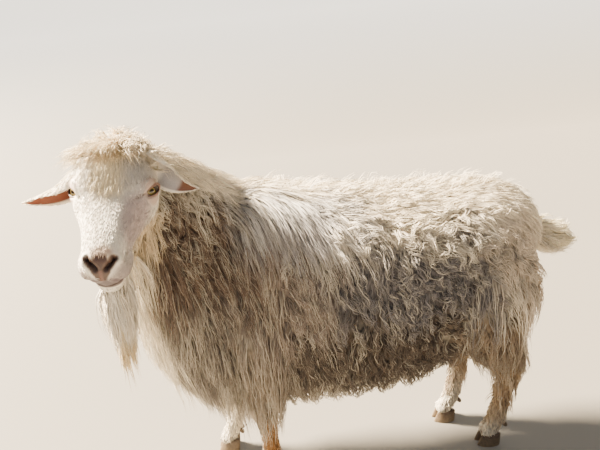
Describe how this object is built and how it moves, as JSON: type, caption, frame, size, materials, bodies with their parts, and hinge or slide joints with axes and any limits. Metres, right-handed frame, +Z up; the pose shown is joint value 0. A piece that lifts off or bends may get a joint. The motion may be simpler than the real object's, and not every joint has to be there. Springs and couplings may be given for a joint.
{
  "type": "goat",
  "caption": "Long-haired polled dairy goat standing still, head turned to its left, with beard, mane and a moulting winter coat, modelled whole at life size.",
  "frame": {"origin": "on the floor, under the middle of the goat's box", "axes": "+Z up, the goat's body runs along X with its head end at -X and its tail at +X, and its left side is -Y"},
  "size_m": [1.1872, 0.6434, 0.9549],
  "materials": {
    "coat": "matte",
    "hoof": "matte",
    "eye": "gloss"
  },
  "bodies": {
    "root": {"beard": "coat", "dewclaw_foreleg_left_left": "hoof", "dewclaw_foreleg_left_right": "hoof", "dewclaw_foreleg_right_left": "hoof", "dewclaw_foreleg_right_right": "hoof", "dewclaw_hindleg_left_left": "hoof", "dewclaw_hindleg_left_right": "hoof", "dewclaw_hindleg_right_left": "hoof", "dewclaw_hindleg_right_right": "hoof", "ear_left": "coat", "ear_right": "coat", "eye_left": "eye", "eye_right": "eye", "foreleg_left": "coat", "foreleg_right": "coat", "head": "coat", "hindleg_left": "coat", "hindleg_right": "coat", "hoof_foreleg_left_left": "hoof", "hoof_foreleg_left_right": "hoof", "hoof_foreleg_right_left": "hoof", "hoof_foreleg_right_right": "hoof", "hoof_hindleg_left_left": "hoof", "hoof_hindleg_left_right": "hoof", "hoof_hindleg_right_left": "hoof", "hoof_hindleg_right_right": "hoof", "neck": "coat", "tail": "coat", "torso": "coat"}
  },
  "joints": []
}
